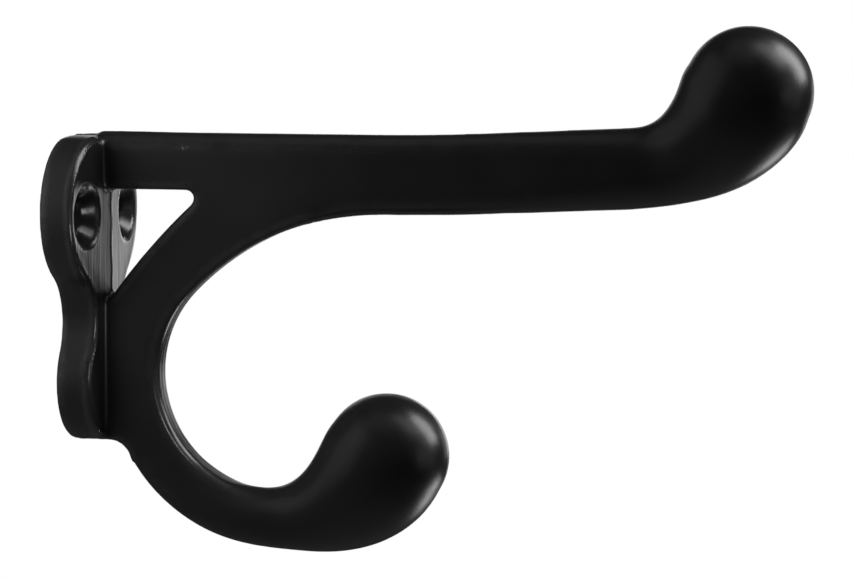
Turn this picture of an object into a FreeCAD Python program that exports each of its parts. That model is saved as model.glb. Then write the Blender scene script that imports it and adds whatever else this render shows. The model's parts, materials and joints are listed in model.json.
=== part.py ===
"""Double robe hook: one casting with a waisted wall plate, a long upper arm and a short curled lower hook.

The wall is the plane Y = 0, the hook stands out towards -Y and +Z is up.  The origin lies on the wall,
midway between the two screws.  All lengths are in millimetres and all angles in degrees.
"""
import FreeCAD, Part
import math
import os

import Sketcher

DRIVING_SIZES = {
    # wall plate, seen from the front
    "plate_width": 32.0,
    "plate_top": 12.0,
    "waist_width": 12.6,
    "waist_drop": 16.4,
    "waist_radius": 7.8,
    "foot_radius": 9.2,
    # wall plate, seen from above
    "plate_thickness": 6.1,
    "plate_draft": 2.5,
    "plate_rounding": 1.4,
    "back_chamfer": 0.4,
    # countersunk screw holes
    "screw_spacing": 19.0,
    "screw_hole": 5.2,
    "screw_head": 9.6,
    "screw_head_angle": 82.0,
    # web that carries both arms
    "web_thickness": 5.8,
    "web_seat": 1.5,
    "parting_land": 0.2,
    "arm_top": 12.5,
    "arm_height": 12.1,
    "ring_reach": 32.0,
    "ring_drop": 24.5,
    "ring_radius": 17.5,
    "ring_width": 8.9,
    "throat_radius": 42.0,
    "heel_angle": 32.3,
    "heel_inset": 0.2,
    "cove_step": 0.2,
    # window between the plate, the upper arm and the strut
    "window_top": 3.8,
    "window_reach": 22.1,
    "window_drop": 15.8,
    "strut_radius": 100.0,
    "window_corner": 1.2,
    "window_chamfer": 0.4,
    # upper arm and its ball end
    "arm_slope": 2.8,
    "arm_taper_reach": 66.0,
    "arm_neck_thickness": 9.0,
    "arm_reach": 87.7,
    "arm_bend_radius": 20.1,
    "arm_bend_angle": 65.0,
    "arm_ball": 19.5,
    # lower hook and its ball end
    "hook_taper_angle": 52.0,
    "hook_swell_angle": 79.0,
    "hook_neck_thickness": 7.5,
    "hook_end_angle": 146.5,
    "hook_curl": 0.5,
    "hook_ball": 19.3,
}

NODE = "double_hook"

doc = FreeCAD.newDocument("DoubleHook")
sheet = doc.addObject("Spreadsheet::Sheet", "Sizes")


def fill_sheet():
    """Put every driving size in a cell of its own and name the cell."""
    for row, (alias, value) in enumerate(DRIVING_SIZES.items(), start=1):
        sheet.set(f"A{row}", alias)
        sheet.set(f"B{row}", str(value))
        sheet.setAlias(f"B{row}", alias)
    doc.recompute()


def size(alias):
    """Return the number in a named cell."""
    return float(sheet.get(alias))


def cells(formula):
    """Turn the names in a formula's braces into cells of the sheet."""
    return formula.replace("{", "Sizes.").replace("}", "")


def bind(target, path, formula):
    """Drive a property from the sheet; names in braces stand for cells."""
    target.setExpression(path, cells(formula))


def origin_plane(body, role):
    """Return one of a body's own origin planes."""
    return next(item for item in body.Origin.OriginFeatures if item.Role == role)


def new_sketch(body, name, role):
    """Attach an empty sketch to an origin plane of its body."""
    sketch = body.newObject("Sketcher::SketchObject", name)
    sketch.AttachmentSupport = [(origin_plane(body, role), "")]
    sketch.MapMode = "FlatFace"
    return sketch


def line(start, end):
    """Return a straight sketch edge."""
    return Part.LineSegment(FreeCAD.Vector(*start, 0), FreeCAD.Vector(*end, 0))


def arc(centre, radius, first, last):
    """Return a round sketch edge that runs anticlockwise between two angles."""
    circle = Part.Circle(FreeCAD.Vector(*centre, 0), FreeCAD.Vector(0, 0, 1), radius)
    return Part.ArcOfCircle(circle, math.radians(first), math.radians(last))


def bearing(start, end):
    """Return the direction from one point to another."""
    return math.degrees(math.atan2(end[1] - start[1], end[0] - start[0]))


def polar(centre, radius, angle):
    """Return the point at a radius and an angle from a centre."""
    turn = math.radians(angle)
    return (centre[0] + radius * math.cos(turn), centre[1] + radius * math.sin(turn))


def constrain(sketch, rules):
    """Add plain constraints to a sketch."""
    for rule in rules:
        sketch.addConstraint(Sketcher.Constraint(*rule))


def dimension(sketch, name, rule, formula):
    """Add a dimension to a sketch and drive it from the sheet."""
    index = sketch.addConstraint(Sketcher.Constraint(*rule))
    sketch.renameConstraint(index, name)
    bind(sketch, f"Constraints.{name}", formula)


# how a sketch counts the points of an edge and its own two axes
START, END, CENTRE = range(1, 4)
LEVEL_AXIS, UPRIGHT_AXIS = range(-1, -3, -1)
ORIGIN = (LEVEL_AXIS, START)

# lengths below this count as none
NOTHING = 1e-6


def plate_outline(body):
    """Draw half of the waisted outline, from the flat top over the round shoulder to the round foot."""
    half_width = size("plate_width") / 2
    top = size("plate_top")
    waist = size("waist_radius")
    foot = size("foot_radius")
    waist_centre = (size("waist_width") / 2 + waist, -size("waist_drop"))
    inward = waist_centre[0] - half_width
    height = top - waist_centre[1]
    shoulder = height + waist - inward - math.sqrt(2 * (waist + height) * (waist - inward))
    centre = (half_width - shoulder, top - shoulder)
    foot_centre = (0, waist_centre[1] - math.sqrt((foot + waist) ** 2 - waist_centre[0] ** 2))
    bottom = (0, foot_centre[1] - foot)

    sketch = new_sketch(body, "PlateOutline", "XZ_Plane")
    top_edge, corner_arc, flank_arc, waist_arc, foot_arc, axis = sketch.addGeometry([
        line((0, top), (centre[0], top)),
        arc(centre, shoulder, 0, 90),
        arc(centre, shoulder, bearing(centre, waist_centre), 0),
        arc(waist_centre, waist, bearing(waist_centre, centre), 360 + bearing(waist_centre, foot_centre)),
        arc(foot_centre, foot, -90, bearing(foot_centre, waist_centre)),
        line(bottom, (0, top)),
    ])
    constrain(sketch, [
        ("Tangent", top_edge, END, corner_arc, END),
        ("Coincident", corner_arc, START, flank_arc, END),
        ("Coincident", corner_arc, CENTRE, flank_arc, CENTRE),
        ("Tangent", flank_arc, START, waist_arc, START),
        ("Tangent", waist_arc, END, foot_arc, END),
        ("Coincident", foot_arc, START, axis, START),
        ("Coincident", axis, END, top_edge, START),
        ("Horizontal", top_edge),
        ("Horizontal", corner_arc, START, corner_arc, CENTRE),
        ("Vertical", axis),
        ("PointOnObject", axis, START, UPRIGHT_AXIS),
        ("PointOnObject", foot_arc, CENTRE, UPRIGHT_AXIS),
    ])
    dimension(sketch, "half_width", ("DistanceX", *ORIGIN, corner_arc, START, half_width),
              "{plate_width} / 2")
    dimension(sketch, "top", ("DistanceY", *ORIGIN, top_edge, START, top), "{plate_top}")
    dimension(sketch, "waist_aside", ("DistanceX", *ORIGIN, waist_arc, CENTRE, waist_centre[0]),
              "{waist_width} / 2 + {waist_radius}")
    dimension(sketch, "waist_below", ("DistanceY", waist_arc, CENTRE, *ORIGIN, -waist_centre[1]),
              "{waist_drop}")
    dimension(sketch, "waist", ("Radius", waist_arc, waist), "{waist_radius}")
    dimension(sketch, "foot", ("Radius", foot_arc, foot), "{foot_radius}")
    return sketch


def plate_bottom():
    """Return the height of the lowest point of the plate."""
    waist_aside = size("waist_width") / 2 + size("waist_radius")
    reach = size("foot_radius") + size("waist_radius")
    return -size("waist_drop") - math.sqrt(reach ** 2 - waist_aside ** 2) - size("foot_radius")


def make_plate():
    """Build the wall plate: half of it with one screw hole, mirrored at the parting plane."""
    body = doc.addObject("PartDesign::Body", "Plate")
    outline = plate_outline(body)
    slab = body.newObject("PartDesign::Pad", "PlateSlab")
    slab.Profile = outline
    bind(slab, "Length", "{plate_thickness}")
    doc.recompute()

    # The front falls away from the parting plane to each side.
    half_width = size("plate_width") / 2
    front = -size("plate_thickness")
    fall = half_width * math.tan(math.radians(size("plate_draft")))
    wedge = new_sketch(body, "DraftWedge", "XY_Plane")
    slope, flank, face = wedge.addGeometry([
        line((0, front), (half_width, front + fall)),
        line((half_width, front + fall), (half_width, front)),
        line((half_width, front), (0, front)),
    ])
    constrain(wedge, [
        ("Coincident", slope, END, flank, START),
        ("Coincident", flank, END, face, START),
        ("Coincident", face, END, slope, START),
        ("Vertical", flank),
        ("Horizontal", face),
        ("PointOnObject", slope, START, UPRIGHT_AXIS),
    ])
    dimension(wedge, "half_width", ("DistanceX", *ORIGIN, flank, START, half_width), "{plate_width} / 2")
    dimension(wedge, "front", ("DistanceY", slope, START, *ORIGIN, -front), "{plate_thickness}")
    dimension(wedge, "fall", ("DistanceY", flank, END, flank, START, fall),
              "{plate_width} / 2 * tan({plate_draft} * 1 deg)")
    draft = body.newObject("PartDesign::Pocket", "FrontDraft")
    draft.Profile = wedge
    draft.Type = "ThroughAll"
    draft.SideType = "Symmetric"
    doc.recompute()

    rim = body.newObject("PartDesign::Fillet", "FrontRim")
    rim.Base = (draft, plate_rim(draft.Shape, at_front=True))
    bind(rim, "Radius", "{plate_rounding}")
    doc.recompute()

    back = body.newObject("PartDesign::Chamfer", "BackRim")
    back.Base = (rim, plate_rim(rim.Shape, at_front=False))
    bind(back, "Size", "{back_chamfer}")
    doc.recompute()

    screw = new_sketch(body, "ScrewPlace", "XZ_Plane")
    bind(screw, "AttachmentOffset.Base.z", "{plate_thickness}")
    circle = Part.Circle(FreeCAD.Vector(size("screw_spacing") / 2, 0, 0), FreeCAD.Vector(0, 0, 1),
                         size("screw_hole") / 2)
    place = screw.addGeometry(circle)
    constrain(screw, [("PointOnObject", place, CENTRE, LEVEL_AXIS)])
    dimension(screw, "aside", ("DistanceX", *ORIGIN, place, CENTRE, size("screw_spacing") / 2),
              "{screw_spacing} / 2")
    dimension(screw, "bore", ("Diameter", place, size("screw_hole")), "{screw_hole}")
    doc.recompute()
    hole = body.newObject("PartDesign::Hole", "ScrewHole")
    hole.Profile = screw
    hole.DepthType = "ThroughAll"
    bind(hole, "Diameter", "{screw_hole}")
    hole.HoleCutType = "Countersink"
    hole.HoleCutCustomValues = True
    bind(hole, "HoleCutCountersinkAngle", "{screw_head_angle}")
    bind(hole, "HoleCutDiameter", "{screw_head} + {screw_spacing} * tan({plate_draft} * 1 deg)"
                                  " * tan({screw_head_angle} * 0.5 deg)")
    doc.recompute()

    both = body.newObject("PartDesign::Mirrored", "BothSides")
    both.TransformMode = "Whole shape"
    both.MirrorPlane = (origin_plane(body, "YZ_Plane"), [""])
    body.Tip = both
    doc.recompute()
    return body


def plate_rim(shape, at_front):
    """Name the edges round the front or the back of the half plate, without the parting plane's own edge."""
    names = []
    for index, edge in enumerate(shape.Edges, start=1):
        box = edge.BoundBox
        on_rim = box.YMax < -size("plate_thickness") / 2 if at_front else box.YMin > -NOTHING
        on_parting_plane = box.XMax < NOTHING
        if on_rim and not on_parting_plane:
            names.append(f"Edge{index}")
    return names


def web_outline(body):
    """Draw the web's side view: the arm's root, the strut and the root of the ring, open at the window."""
    seat = -(size("plate_thickness") - size("web_seat"))
    top = size("arm_top")
    under = top - size("arm_height")
    ring = size("ring_radius")
    throat = size("throat_radius")
    ring_centre = (-size("ring_reach"), -size("ring_drop"))
    throat_height = under - throat
    aside = math.sqrt((throat - ring) ** 2 - (ring_centre[1] - throat_height) ** 2)
    throat_centre = (ring_centre[0] - aside, throat_height)
    turn = bearing(throat_centre, ring_centre)
    heel_angle = -size("heel_angle")
    inner_end = polar(ring_centre, ring, heel_angle)
    root = size("ring_width") - size("heel_inset")
    heel = polar(ring_centre, ring + root, heel_angle)
    cove_top = plate_bottom() + size("cove_step")
    cove = cove_top - heel[1]
    cove_centre = (heel[0] + cove, heel[1])
    foot = (seat, -size("window_drop"))
    corner = (-size("window_reach"), size("window_top"))
    strut = size("strut_radius")
    half_chord = math.dist(foot, corner) / 2
    middle = ((foot[0] + corner[0]) / 2, (foot[1] + corner[1]) / 2)
    strut_centre = polar(middle, math.sqrt(strut ** 2 - half_chord ** 2), bearing(foot, corner) + 90)

    sketch = new_sketch(body, "WebOutline", "YZ_Plane")
    edges = sketch.addGeometry([
        line((seat, top), (throat_centre[0], top)),
        line((throat_centre[0], top), (throat_centre[0], under)),
        arc(throat_centre, throat, turn, 90),
        arc(ring_centre, ring, heel_angle, turn),
        line(inner_end, heel),
        arc(cove_centre, cove, 90, 180),
        line((cove_centre[0], cove_top), (seat, cove_top)),
        line((seat, cove_top), foot),
        arc(strut_centre, strut, bearing(strut_centre, foot), bearing(strut_centre, corner)),
        line(corner, (seat, corner[1])),
        line((seat, corner[1]), (seat, top)),
    ])
    arm_top, arm_end, throat_arc, ring_arc, ring_root, cove_arc = edges[:6]
    cove_sill, lower_seat, strut_arc, sill, upper_seat = edges[6:]
    constrain(sketch, [
        ("Coincident", upper_seat, END, arm_top, START),
        ("Coincident", arm_top, END, arm_end, START),
        ("Coincident", arm_end, END, throat_arc, END),
        ("Tangent", throat_arc, START, ring_arc, END),
        ("Coincident", ring_arc, START, ring_root, START),
        ("Coincident", ring_root, END, cove_arc, END),
        ("Tangent", cove_arc, START, cove_sill, START),
        ("Coincident", cove_sill, END, lower_seat, START),
        ("Coincident", lower_seat, END, strut_arc, START),
        ("Coincident", strut_arc, END, sill, START),
        ("Coincident", sill, END, upper_seat, START),
        ("Horizontal", arm_top),
        ("Horizontal", sill),
        ("Horizontal", cove_sill),
        ("Vertical", arm_end),
        ("Vertical", lower_seat),
        ("Vertical", upper_seat),
        ("Vertical", arm_end, END, throat_arc, CENTRE),
        ("Horizontal", cove_arc, END, cove_arc, CENTRE),
        ("PointOnObject", ring_arc, CENTRE, ring_root),
    ])
    depth = "{plate_thickness} - {web_seat}"
    foot_depth = ("{waist_drop} + sqrt(({foot_radius} + {waist_radius}) ^ 2"
                  " - ({waist_width} / 2 + {waist_radius}) ^ 2) + {foot_radius}")
    dimension(sketch, "top", ("DistanceY", *ORIGIN, arm_top, START, top), "{arm_top}")
    dimension(sketch, "upper_seat", ("DistanceX", upper_seat, START, *ORIGIN, -seat), depth)
    dimension(sketch, "lower_seat", ("DistanceX", lower_seat, START, *ORIGIN, -seat), depth)
    dimension(sketch, "arm_height", ("DistanceY", arm_end, END, arm_end, START, top - under), "{arm_height}")
    dimension(sketch, "ring_reach", ("DistanceX", ring_arc, CENTRE, *ORIGIN, -ring_centre[0]), "{ring_reach}")
    dimension(sketch, "ring_drop", ("DistanceY", ring_arc, CENTRE, *ORIGIN, -ring_centre[1]), "{ring_drop}")
    dimension(sketch, "ring", ("Radius", ring_arc, ring), "{ring_radius}")
    dimension(sketch, "throat", ("Radius", throat_arc, throat), "{throat_radius}")
    dimension(sketch, "root", ("Distance", ring_root, root), "{ring_width} - {heel_inset}")
    dimension(sketch, "heel", ("Angle", ring_root, math.radians(heel_angle)), "-{heel_angle} * 1 deg")
    dimension(sketch, "cove_top", ("DistanceY", cove_sill, START, *ORIGIN, -cove_top),
              foot_depth + " - {cove_step}")
    dimension(sketch, "window_drop", ("DistanceY", strut_arc, START, *ORIGIN, -foot[1]), "{window_drop}")
    dimension(sketch, "window_reach", ("DistanceX", sill, START, *ORIGIN, -corner[0]), "{window_reach}")
    dimension(sketch, "window_top", ("DistanceY", *ORIGIN, sill, START, corner[1]), "{window_top}")
    dimension(sketch, "strut", ("Radius", strut_arc, strut), "{strut_radius}")
    return sketch, (arm_top, throat_arc, ring_arc), (strut_arc, sill)


def side_edges(shape, sketch, curves, aside):
    """Name the edges that follow some curves of a side view on the faces at a distance from the middle."""
    names = []
    place = sketch.Placement.toMatrix()
    paths = [sketch.Geometry[curve].toShape().transformGeometry(place) for curve in curves]
    for index, edge in enumerate(shape.Edges, start=1):
        middle = edge.valueAt((edge.FirstParameter + edge.LastParameter) / 2)
        on_face = abs(abs(middle.x) - aside) < NOTHING
        foot = Part.Vertex(0, middle.y, middle.z)
        if on_face and any(path.distToShape(foot)[0] < NOTHING for path in paths):
            names.append(f"Edge{index}")
    return names


def corner_edges(shape, point):
    """Name the edges that cross the web at a point of its side view."""
    names = []
    for index, edge in enumerate(shape.Edges, start=1):
        middle = edge.valueAt((edge.FirstParameter + edge.LastParameter) / 2)
        if math.dist((middle.y, middle.z), point) < NOTHING and edge.BoundBox.XLength > NOTHING:
            names.append(f"Edge{index}")
    return names


def make_web(body):
    """Build the flat web with its rounded rims and the window's softened edges."""
    outline, rims, window = web_outline(body)
    slab = body.newObject("PartDesign::Pad", "WebSlab")
    slab.Profile = outline
    slab.SideType = "Symmetric"
    bind(slab, "Length", "{web_thickness}")
    doc.recompute()

    corner = body.newObject("PartDesign::Fillet", "WindowCorner")
    corner.Base = (slab, corner_edges(slab.Shape, (-size("window_reach"), size("window_top"))))
    bind(corner, "Radius", "{window_corner}")
    doc.recompute()

    aside = size("web_thickness") / 2
    softened = body.newObject("PartDesign::Chamfer", "WindowEdges")
    softened.Base = (corner, side_edges(corner.Shape, outline, window, aside))
    bind(softened, "Size", "{window_chamfer}")
    doc.recompute()

    rounded = body.newObject("PartDesign::Fillet", "WebRims")
    rounded.Base = (softened, side_edges(softened.Shape, outline, rims, aside))
    bind(rounded, "Radius", "({web_thickness} - {parting_land}) / 2")
    doc.recompute()


ARM_START = ("({ring_reach} + sqrt(({throat_radius} - {ring_radius}) ^ 2"
             " - ({arm_top} - {arm_height} - {throat_radius} + {ring_drop}) ^ 2))")
ARM_MIDDLE = "({arm_top} - {arm_height} / 2)"


def cross_sketch(body, name, out, up, tilt):
    """Place an empty sketch square to an arm's path.

    The place is given as the distance out from the wall, the height and the path's slope, all of them
    formulas of the sheet.
    """
    sketch = new_sketch(body, name, "XZ_Plane")
    level_tilt = FreeCAD.Rotation(FreeCAD.Vector(-1, 0, 0), 1)
    sketch.AttachmentOffset = FreeCAD.Placement(FreeCAD.Vector(), level_tilt)
    bind(sketch, "AttachmentOffset.Base.z", out)
    bind(sketch, "AttachmentOffset.Base.y", up)
    bind(sketch, "AttachmentOffset.Rotation.Angle", tilt)
    return sketch


def section(body, name, place, height, thickness):
    """Draw one rounded cross-section of an arm; its sides end in the flat of the parting line."""
    sketch = cross_sketch(body, name, *place)
    wide = size("web_thickness") / 2
    tall = size("arm_height") / 2
    flat = size("parting_land") / 2
    rounding = wide - flat
    side = tall - rounding
    edges = sketch.addGeometry([
        line((-flat, tall), (flat, tall)),
        arc((flat, side), rounding, 0, 90),
        line((wide, side), (wide, -side)),
        arc((flat, -side), rounding, 270, 360),
        line((flat, -tall), (-flat, -tall)),
        arc((-flat, -side), rounding, 180, 270),
        line((-wide, -side), (-wide, side)),
        arc((-flat, side), rounding, 90, 180),
    ])
    top, top_right, right, low_right, low, low_left, left, top_left = edges
    constrain(sketch, [
        ("Tangent", top, END, top_right, END),
        ("Tangent", top_right, START, right, START),
        ("Tangent", right, END, low_right, END),
        ("Tangent", low_right, START, low, START),
        ("Tangent", low, END, low_left, END),
        ("Tangent", low_left, START, left, START),
        ("Tangent", left, END, top_left, END),
        ("Tangent", top_left, START, top, START),
        ("Horizontal", top),
        ("Horizontal", low),
        ("Vertical", right),
        ("Vertical", left),
        ("Equal", top_right, low_right),
        ("Equal", low_right, low_left),
        ("Equal", low_left, top_left),
        ("Symmetric", top_right, CENTRE, low_left, CENTRE, *ORIGIN),
    ])
    dimension(sketch, "thickness", ("DistanceX", left, START, right, START, 2 * wide), thickness)
    dimension(sketch, "height", ("DistanceY", low, START, top, START, 2 * tall), height)
    dimension(sketch, "rounding", ("Radius", top_right, rounding), f"({thickness} - {{parting_land}}) / 2")
    return sketch


def ball_section(body, name, place, ball):
    """Draw an arm's last cross-section, a circle parted by the flat of the parting line.

    Each half circle is drawn as three arcs, so that every edge has its match in the other cross-sections.
    """
    sketch = cross_sketch(body, name, *place)
    flat = size("parting_land") / 2
    radius = size(ball) / 2 - flat
    lean = math.degrees(math.asin(flat / radius))
    edges = sketch.addGeometry([
        line((-flat, radius), (flat, radius)),
        arc((flat, 0), radius, lean, 90),
        arc((flat, 0), radius, -lean, lean),
        arc((flat, 0), radius, 270, 360 - lean),
        line((flat, -radius), (-flat, -radius)),
        arc((-flat, 0), radius, 180 + lean, 270),
        arc((-flat, 0), radius, 180 - lean, 180 + lean),
        arc((-flat, 0), radius, 90, 180 - lean),
    ])
    top, top_right, right, low_right, low, low_left, left, top_left = edges
    constrain(sketch, [
        ("Tangent", top, END, top_right, END),
        ("Coincident", top_right, START, right, END),
        ("Coincident", right, START, low_right, END),
        ("Tangent", low_right, START, low, START),
        ("Tangent", low, END, low_left, END),
        ("Coincident", low_left, START, left, END),
        ("Coincident", left, START, top_left, END),
        ("Tangent", top_left, START, top, START),
        ("Coincident", top_right, CENTRE, right, CENTRE),
        ("Coincident", low_right, CENTRE, right, CENTRE),
        ("Coincident", top_left, CENTRE, left, CENTRE),
        ("Coincident", low_left, CENTRE, left, CENTRE),
        ("PointOnObject", right, CENTRE, LEVEL_AXIS),
        ("PointOnObject", left, CENTRE, LEVEL_AXIS),
        ("Equal", right, left),
        ("Vertical", right, START, right, END),
        ("Vertical", left, START, left, END),
    ])
    dimension(sketch, "half_land", ("DistanceX", *ORIGIN, right, CENTRE, flat), "{parting_land} / 2")
    dimension(sketch, "land", ("DistanceX", left, CENTRE, right, CENTRE, 2 * flat), "{parting_land}")
    dimension(sketch, "radius", ("Radius", right, radius), f"({{{ball}}} - {{parting_land}}) / 2")
    dimension(sketch, "right_match", ("DistanceY", right, START, right, END, 2 * flat), "{parting_land}")
    dimension(sketch, "left_match", ("DistanceY", left, END, left, START, 2 * flat), "{parting_land}")
    return sketch


def ball_end(body, name, place, ball):
    """Close an arm with a dome: the upper half of its last cross-section, turned half round."""
    sketch = cross_sketch(body, f"{name}Half", *place)
    flat = size("parting_land") / 2
    radius = size(ball) / 2 - flat
    reach = size(ball) / 2
    left, top, right, base = sketch.addGeometry([
        arc((-flat, 0), radius, 90, 180),
        line((-flat, radius), (flat, radius)),
        arc((flat, 0), radius, 0, 90),
        line((reach, 0), (-reach, 0)),
    ])
    constrain(sketch, [
        ("Tangent", left, START, top, START),
        ("Tangent", top, END, right, END),
        ("Coincident", right, START, base, START),
        ("Coincident", base, END, left, END),
        ("Horizontal", top),
        ("Equal", left, right),
        ("PointOnObject", left, CENTRE, LEVEL_AXIS),
        ("PointOnObject", base, START, LEVEL_AXIS),
        ("PointOnObject", base, END, LEVEL_AXIS),
    ])
    dimension(sketch, "half_land", ("DistanceX", *ORIGIN, right, CENTRE, flat), "{parting_land} / 2")
    dimension(sketch, "land", ("DistanceX", top, START, top, END, 2 * flat), "{parting_land}")
    dimension(sketch, "radius", ("Radius", left, radius), f"({{{ball}}} - {{parting_land}}) / 2")
    doc.recompute()
    dome = body.newObject("PartDesign::Revolution", name)
    dome.Profile = sketch
    dome.ReferenceAxis = (sketch, ["H_Axis"])
    dome.Angle = 180
    doc.recompute()


def turned_run(body, name, sketch, radius, turn):
    """Carry a cross-section on along a round path whose centre lies straight above it in its sketch."""
    wide = size("web_thickness") / 2
    doc.recompute()
    above = FreeCAD.Units.Quantity(sketch.evalExpression(cells(radius))).Value
    axis = sketch.addGeometry(line((wide, above), (-wide, above)), True)
    constrain(sketch, [("Symmetric", axis, START, axis, END, UPRIGHT_AXIS)])
    dimension(sketch, "axis_length", ("DistanceX", axis, END, axis, START, 2 * wide), "{web_thickness}")
    dimension(sketch, "path", ("DistanceY", *ORIGIN, axis, START, above), radius)
    doc.recompute()
    run = body.newObject("PartDesign::Revolution", name)
    run.Profile = sketch
    run.ReferenceAxis = (sketch, ["Axis0"])
    bind(run, "Angle", turn)
    doc.recompute()


def swell(fraction, neck, ball):
    """Return the formula for a size that eases from the neck's to the ball's."""
    share = fraction ** 3 * (10 - 15 * fraction + 6 * fraction ** 2)
    return f"({neck} + ({ball} - {neck}) * {share})"


def arm_loft(body, name, sections):
    """Blend a row of cross-sections into one arm."""
    doc.recompute()
    loft = body.newObject("PartDesign::AdditiveLoft", name)
    loft.Profile = sections[0]
    loft.Sections = sections[1:]
    doc.recompute()


TAPER_STEPS = 4
SWELL_STEPS = 4


def between(fraction, first, last):
    """Return the formula for a size part of the way from one to another."""
    return f"({first} + ({last} - {first}) * {fraction})"


def make_upper_arm(body):
    """Build the long arm: an even run that starts to rise, a taper, then a bend that swells into the ball."""
    slope = "{arm_slope} * 1 deg"
    run = f"({{arm_taper_reach}} - {ARM_START})"
    root = section(body, "ArmRoot", (ARM_START, ARM_MIDDLE, "0 deg"), "{arm_height}", "{web_thickness}")
    turned_run(body, "ArmRun", root, f"{run} / sin({slope})", slope)

    low = f"({ARM_MIDDLE} + {run} * tan({{arm_slope}} * 0.5 deg))"
    high = f"({low} + ({{arm_reach}} - {{arm_taper_reach}}) * tan({slope}))"
    sections = []
    for step in range(TAPER_STEPS):
        fraction = step / TAPER_STEPS
        place = (between(fraction, "{arm_taper_reach}", "{arm_reach}"), between(fraction, low, high), slope)
        thickness = between(fraction, "{web_thickness}", "{arm_neck_thickness}")
        sections.append(section(body, f"ArmTaper{step}", place, "{arm_height}", thickness))
    for step in range(SWELL_STEPS + 1):
        fraction = step / SWELL_STEPS
        angle = between(fraction, slope, "{arm_bend_angle} * 1 deg")
        place = (f"{{arm_reach}} + {{arm_bend_radius}} * (sin({angle}) - sin({slope}))",
                 f"{high} + {{arm_bend_radius}} * (cos({slope}) - cos({angle}))",
                 angle)
        if step < SWELL_STEPS:
            height = swell(fraction, "{arm_height}", "{arm_ball}")
            thickness = swell(fraction, "{arm_neck_thickness}", "{arm_ball}")
            sections.append(section(body, f"ArmSwell{step}", place, height, thickness))
    sections.append(ball_section(body, "ArmEnd", place, "arm_ball"))
    arm_loft(body, "UpperArm", sections)
    ball_end(body, "UpperBall", place, "arm_ball")


def hook_place(angle, curl):
    """Return the formulas for a place on the lower hook's path, part of the way into its curl."""
    path = f"({{ring_radius}} + {{ring_width}} / 2 - {{hook_curl}} * {curl})"
    out = f"{{ring_reach}} - {path} * cos({angle})"
    up = f"-{{ring_drop}} - {path} * sin({angle})"
    return out, up, f"{angle} - 90 deg"


def make_lower_hook(body):
    """Build the curled hook: an even ring from the heel, a taper, then a curl that swells into the ball."""
    heel = "{heel_angle} * 1 deg"
    taper = "{hook_taper_angle} * 1 deg"
    neck = "{hook_swell_angle} * 1 deg"
    root = section(body, "RingRoot", hook_place(heel, 0), "{ring_width}", "{web_thickness}")
    turned_run(body, "RingRun", root, "{ring_radius} + {ring_width} / 2", f"{taper} - {heel}")

    sections = []
    for step in range(TAPER_STEPS // 2):
        fraction = step / (TAPER_STEPS // 2)
        thickness = between(fraction, "{web_thickness}", "{hook_neck_thickness}")
        place = hook_place(between(fraction, taper, neck), 0)
        sections.append(section(body, f"HookTaper{step}", place, "{ring_width}", thickness))
    for step in range(SWELL_STEPS + 1):
        fraction = step / SWELL_STEPS
        place = hook_place(between(fraction, neck, "{hook_end_angle} * 1 deg"), fraction ** 2)
        if step < SWELL_STEPS:
            height = swell(fraction, "{ring_width}", "{hook_ball}")
            thickness = swell(fraction, "{hook_neck_thickness}", "{hook_ball}")
            sections.append(section(body, f"HookSwell{step}", place, height, thickness))
    sections.append(ball_section(body, "HookEnd", place, "hook_ball"))
    arm_loft(body, "LowerHook", sections)
    ball_end(body, "LowerBall", place, "hook_ball")


def check_document():
    """Stop if any object failed or the finished casting is not one sound solid."""
    for item in doc.Objects:
        if "Invalid" in item.State or "Error" in item.State:
            raise RuntimeError(f"{item.Name} failed: {item.State}")
    shape = casting.Shape
    if shape.isNull() or not shape.isValid() or len(shape.Solids) != 1:
        raise RuntimeError(f"{casting.Label} is not one valid solid")


fill_sheet()
plate = make_plate()
hook = doc.addObject("PartDesign::Body", "Hook")
make_web(hook)
make_upper_arm(hook)
make_lower_hook(hook)

casting = doc.addObject("Part::Fuse", "Casting")
casting.Label = NODE
casting.Base = plate
casting.Tool = hook
casting.Refine = True
casting.Placement = FreeCAD.Placement()
doc.recompute()

check_document()
os.makedirs("parts", exist_ok=True)
casting.Shape.exportStep(f"parts/{NODE}.step")
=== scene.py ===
"""Looks of a cast double robe hook: satin black paint over a softly cast skin, in plain studio light."""

import json
import logging
import math
from dataclasses import dataclass, field
from enum import Enum
from typing import Sequence

import bmesh
import bpy
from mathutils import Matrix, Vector

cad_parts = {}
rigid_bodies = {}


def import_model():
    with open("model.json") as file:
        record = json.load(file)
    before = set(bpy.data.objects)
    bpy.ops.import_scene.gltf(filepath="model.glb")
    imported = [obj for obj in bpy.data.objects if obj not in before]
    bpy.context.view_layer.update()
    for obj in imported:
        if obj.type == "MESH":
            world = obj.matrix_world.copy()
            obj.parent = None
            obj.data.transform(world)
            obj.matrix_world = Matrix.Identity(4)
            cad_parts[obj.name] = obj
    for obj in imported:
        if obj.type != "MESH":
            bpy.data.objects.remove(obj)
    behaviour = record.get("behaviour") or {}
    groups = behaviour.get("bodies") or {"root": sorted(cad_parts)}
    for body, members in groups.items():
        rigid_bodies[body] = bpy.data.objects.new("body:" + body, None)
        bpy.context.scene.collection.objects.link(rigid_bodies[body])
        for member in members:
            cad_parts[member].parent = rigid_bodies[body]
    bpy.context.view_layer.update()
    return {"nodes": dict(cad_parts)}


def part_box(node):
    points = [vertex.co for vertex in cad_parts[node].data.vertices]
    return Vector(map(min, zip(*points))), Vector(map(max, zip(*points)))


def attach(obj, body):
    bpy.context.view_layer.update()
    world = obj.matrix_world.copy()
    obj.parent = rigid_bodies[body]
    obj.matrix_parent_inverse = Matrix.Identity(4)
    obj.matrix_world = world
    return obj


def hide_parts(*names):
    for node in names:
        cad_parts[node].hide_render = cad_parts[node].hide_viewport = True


LOG = logging.getLogger("double_hook")
BODY = "root"
MM = 0.001

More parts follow.
